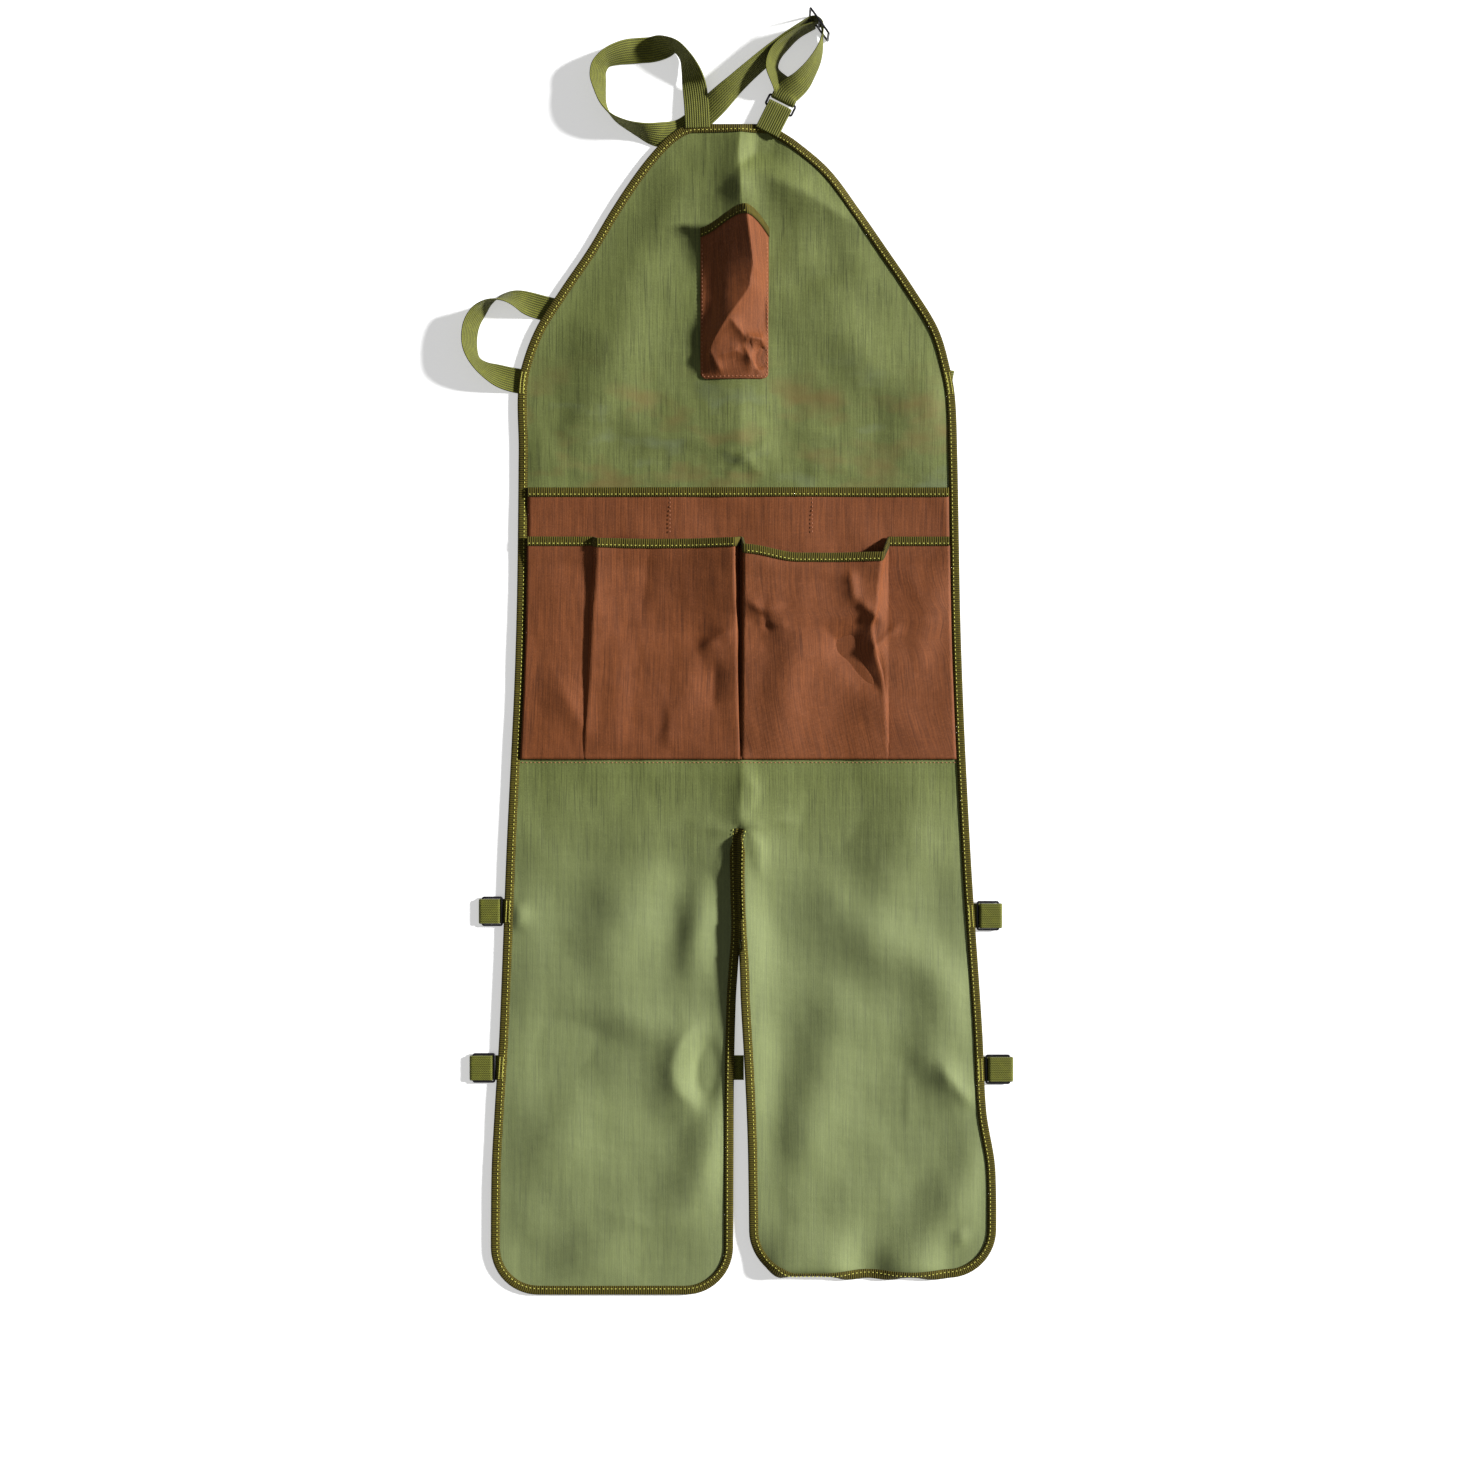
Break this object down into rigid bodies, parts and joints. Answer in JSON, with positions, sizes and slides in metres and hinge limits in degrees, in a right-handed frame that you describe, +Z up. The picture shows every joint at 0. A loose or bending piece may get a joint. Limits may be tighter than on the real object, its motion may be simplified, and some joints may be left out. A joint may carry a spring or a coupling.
{
  "type": "gardening apron",
  "caption": "Bib apron with split legs lying face up: bound cloth panel, brown tool pockets, chest pocket, webbing neck, waist and leg straps with plastic hardware.",
  "frame": {"origin": "centre of the bounding box on the surface that the apron lies on", "axes": "+X to the right across the front, +Y from the legs to the neck, +Z up out of the front"},
  "size_m": [0.5554, 1.291, 0.035],
  "materials": {
    "green_cloth": "plain woven cotton canvas, slightly slubby",
    "brown_cloth": "plain woven cotton canvas",
    "olive_tape": "ribbed grosgrain tape with yellow-green stitching",
    "webbing": "woven webbing with lengthways ribs",
    "black_plastic": "moulded, satin"
  },
  "bodies": {
    "root": {"panel": "green_cloth", "edge_binding": "olive_tape", "back_pocket": "brown_cloth", "back_pocket_binding": "olive_tape", "front_pocket": "brown_cloth", "front_pocket_binding": "olive_tape", "chest_pocket": "brown_cloth", "chest_pocket_binding": "olive_tape", "neck_strap": "webbing", "neck_tab": "webbing", "neck_ring": "black_plastic", "neck_slider": "black_plastic", "waist_strap": "webbing", "leg_strap_left_upper": "webbing", "leg_buckle_left_upper": "black_plastic", "leg_strap_left_lower": "webbing", "leg_buckle_left_lower": "black_plastic", "leg_strap_right_upper": "webbing", "leg_buckle_right_upper": "black_plastic", "leg_strap_right_lower": "webbing", "leg_buckle_right_lower": "black_plastic"}
  },
  "joints": []
}
